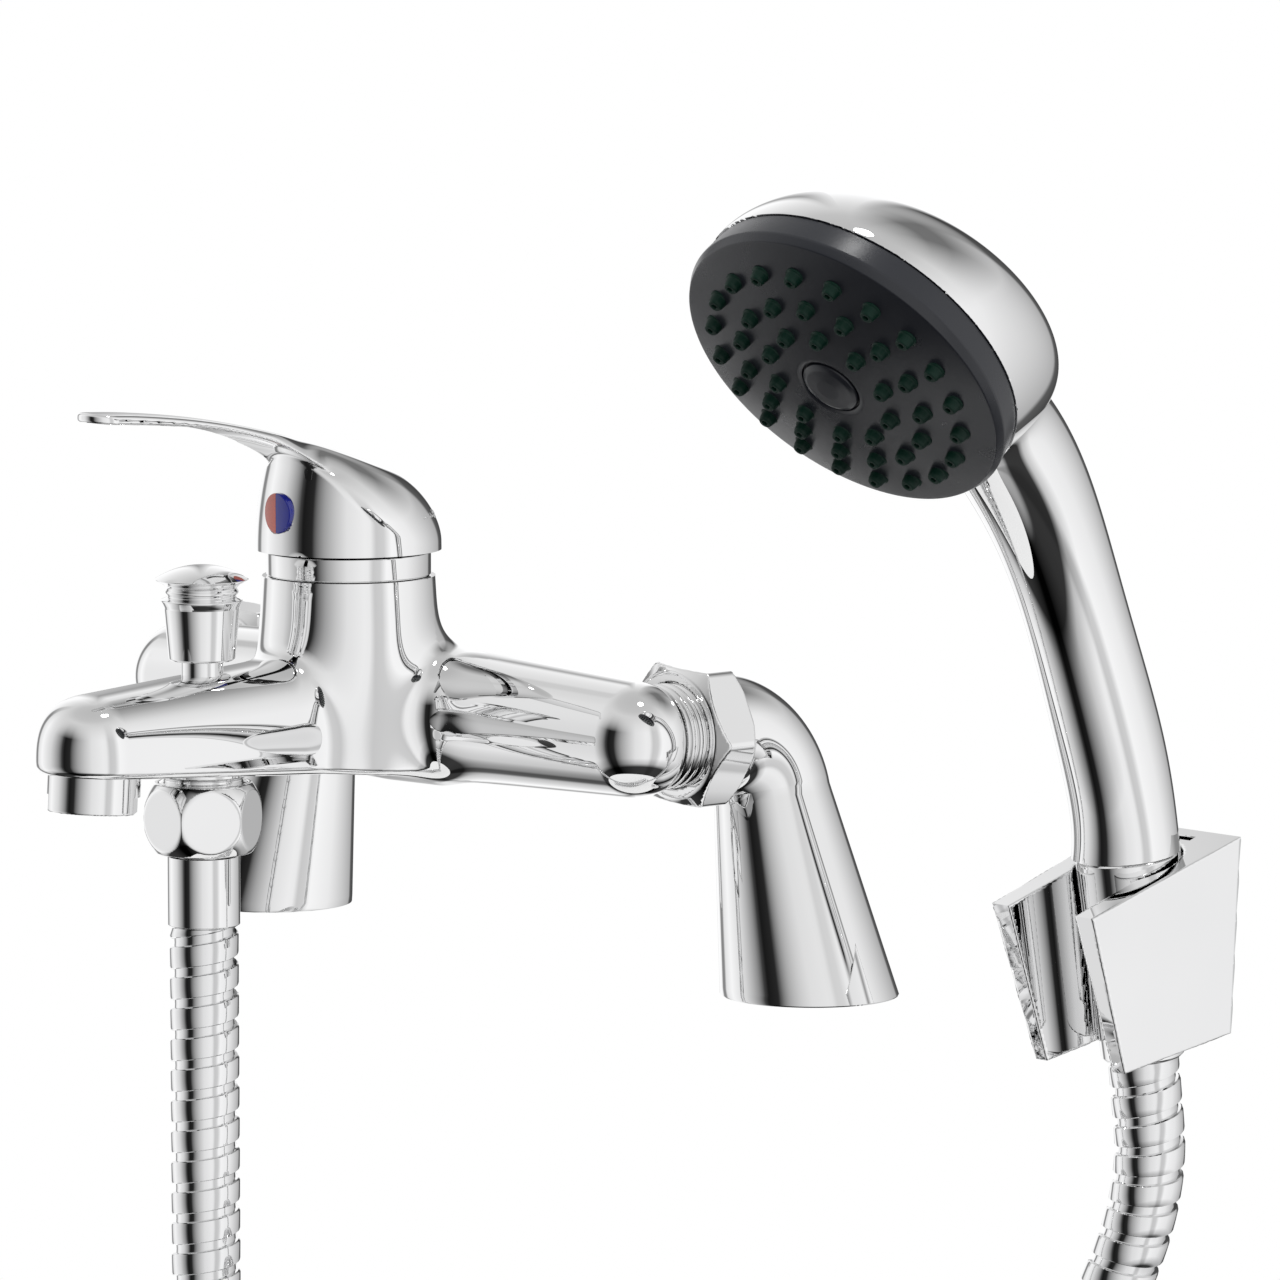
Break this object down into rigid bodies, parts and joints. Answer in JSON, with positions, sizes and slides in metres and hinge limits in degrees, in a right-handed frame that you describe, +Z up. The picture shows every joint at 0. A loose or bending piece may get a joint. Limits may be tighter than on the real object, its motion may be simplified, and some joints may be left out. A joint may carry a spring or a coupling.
{
  "type": "bath shower mixer",
  "caption": "Chrome deck mounted bath shower mixer with lever column, pull diverter, bridge on splayed pillars, ribbed hose, handset with rubber jets and wall bracket.",
  "frame": {"origin": "midway between the two deck holes, on the deck's top surface", "axes": "+X to the right along the bridge, -Y to the front where the spout points, +Z up"},
  "size_m": [0.3132, 0.1781, 0.4133],
  "materials": {
    "chrome": "bright chrome on brass",
    "chrome_plastic": "bright chrome on moulded plastic",
    "brass": "machined",
    "steel": "drawn",
    "white_plastic": "moulded",
    "ceramic_white": "polished ceramic",
    "seal_rubber": "moulded rubber",
    "face_plastic": "fine satin",
    "nozzle_rubber": "soft moulded rubber",
    "red_plastic": "gloss",
    "blue_plastic": "gloss",
    "tie_plastic": "moulded"
  },
  "bodies": {
    "mixer": {"mixer_body": "chrome", "left_pillar": "chrome", "right_pillar": "chrome", "left_base_seal": "seal_rubber", "right_base_seal": "seal_rubber", "left_union_nut": "chrome", "right_union_nut": "chrome", "left_union_washer": "seal_rubber", "right_union_washer": "seal_rubber", "cartridge_cover": "chrome", "cartridge_nut": "brass", "cartridge_housing": "white_plastic", "cartridge_base": "white_plastic", "cartridge_seal": "seal_rubber", "fixed_disc": "ceramic_white", "diverter_seat": "brass", "diverter_gland": "chrome", "shower_outlet": "chrome", "check_valve": "white_plastic", "aerator_housing": "chrome", "aerator_insert": "face_plastic", "aerator_washer": "seal_rubber", "hose_nut": "chrome", "hose_washer": "seal_rubber", "mixer_ferrule": "chrome", "hose_mixer_run": "chrome", "hose_coil": "chrome", "hose_handset_run": "chrome", "hose_tie": "tie_plastic", "bracket": "chrome_plastic"},
    "turner": {"turntable": "white_plastic", "lever_pin": "steel"},
    "lever": {"handle": "chrome", "spindle": "brass", "handle_screw": "steel", "indicator_red": "red_plastic", "indicator_blue": "blue_plastic"},
    "disc": {"moving_disc": "ceramic_white", "disc_driver": "white_plastic"},
    "diverter": {"diverter_stem": "steel", "diverter_knob": "chrome", "diverter_piston": "brass", "diverter_seal_low": "seal_rubber", "diverter_seal_up": "seal_rubber"},
    "holder": {"cone_nut": "chrome", "cone_washer": "seal_rubber"},
    "handset": {"handset_shell": "chrome_plastic", "filter_washer": "white_plastic", "head_face": "face_plastic", "nozzle_mat": "nozzle_rubber", "centre_cap": "face_plastic", "face_screw": "steel", "face_seal": "seal_rubber"}
  },
  "joints": [
    {"name": "lever_turn", "type": "hinge", "parent": "mixer", "child": "turner", "pos_m": [0, -0.052, 0.087], "axis": [0, 0, 1], "range_deg": [-45, 45]},
    {"name": "lever_lift", "type": "hinge", "parent": "turner", "child": "lever", "pos_m": [0, -0.052, 0.087], "axis": [-1, 0, 0], "range_deg": [0, 16]},
    {"name": "disc_slide", "type": "slide", "parent": "turner", "child": "disc", "axis": [0, -1, 0], "range_m": [0, 0.00376]},
    {"name": "diverter_pull", "type": "slide", "parent": "mixer", "child": "diverter", "axis": [0, 0, 1], "range_m": [0, 0.006]},
    {"name": "handset_lift", "type": "slide", "parent": "mixer", "child": "holder", "axis": [0, -0.1253, 0.9921], "range_m": [0, 0.05], "deforming": ["hose_handset_run"]},
    {"name": "handset_turn", "type": "hinge", "parent": "holder", "child": "handset", "pos_m": [0.1603, 0.0255, 0.0355], "axis": [0, -0.1253, 0.9921], "range_deg": [-60, 60]}
  ],
  "couplings": [
    {"joint": "disc_slide", "follows": "lever_lift", "m_per_rad": 0.01345}
  ]
}
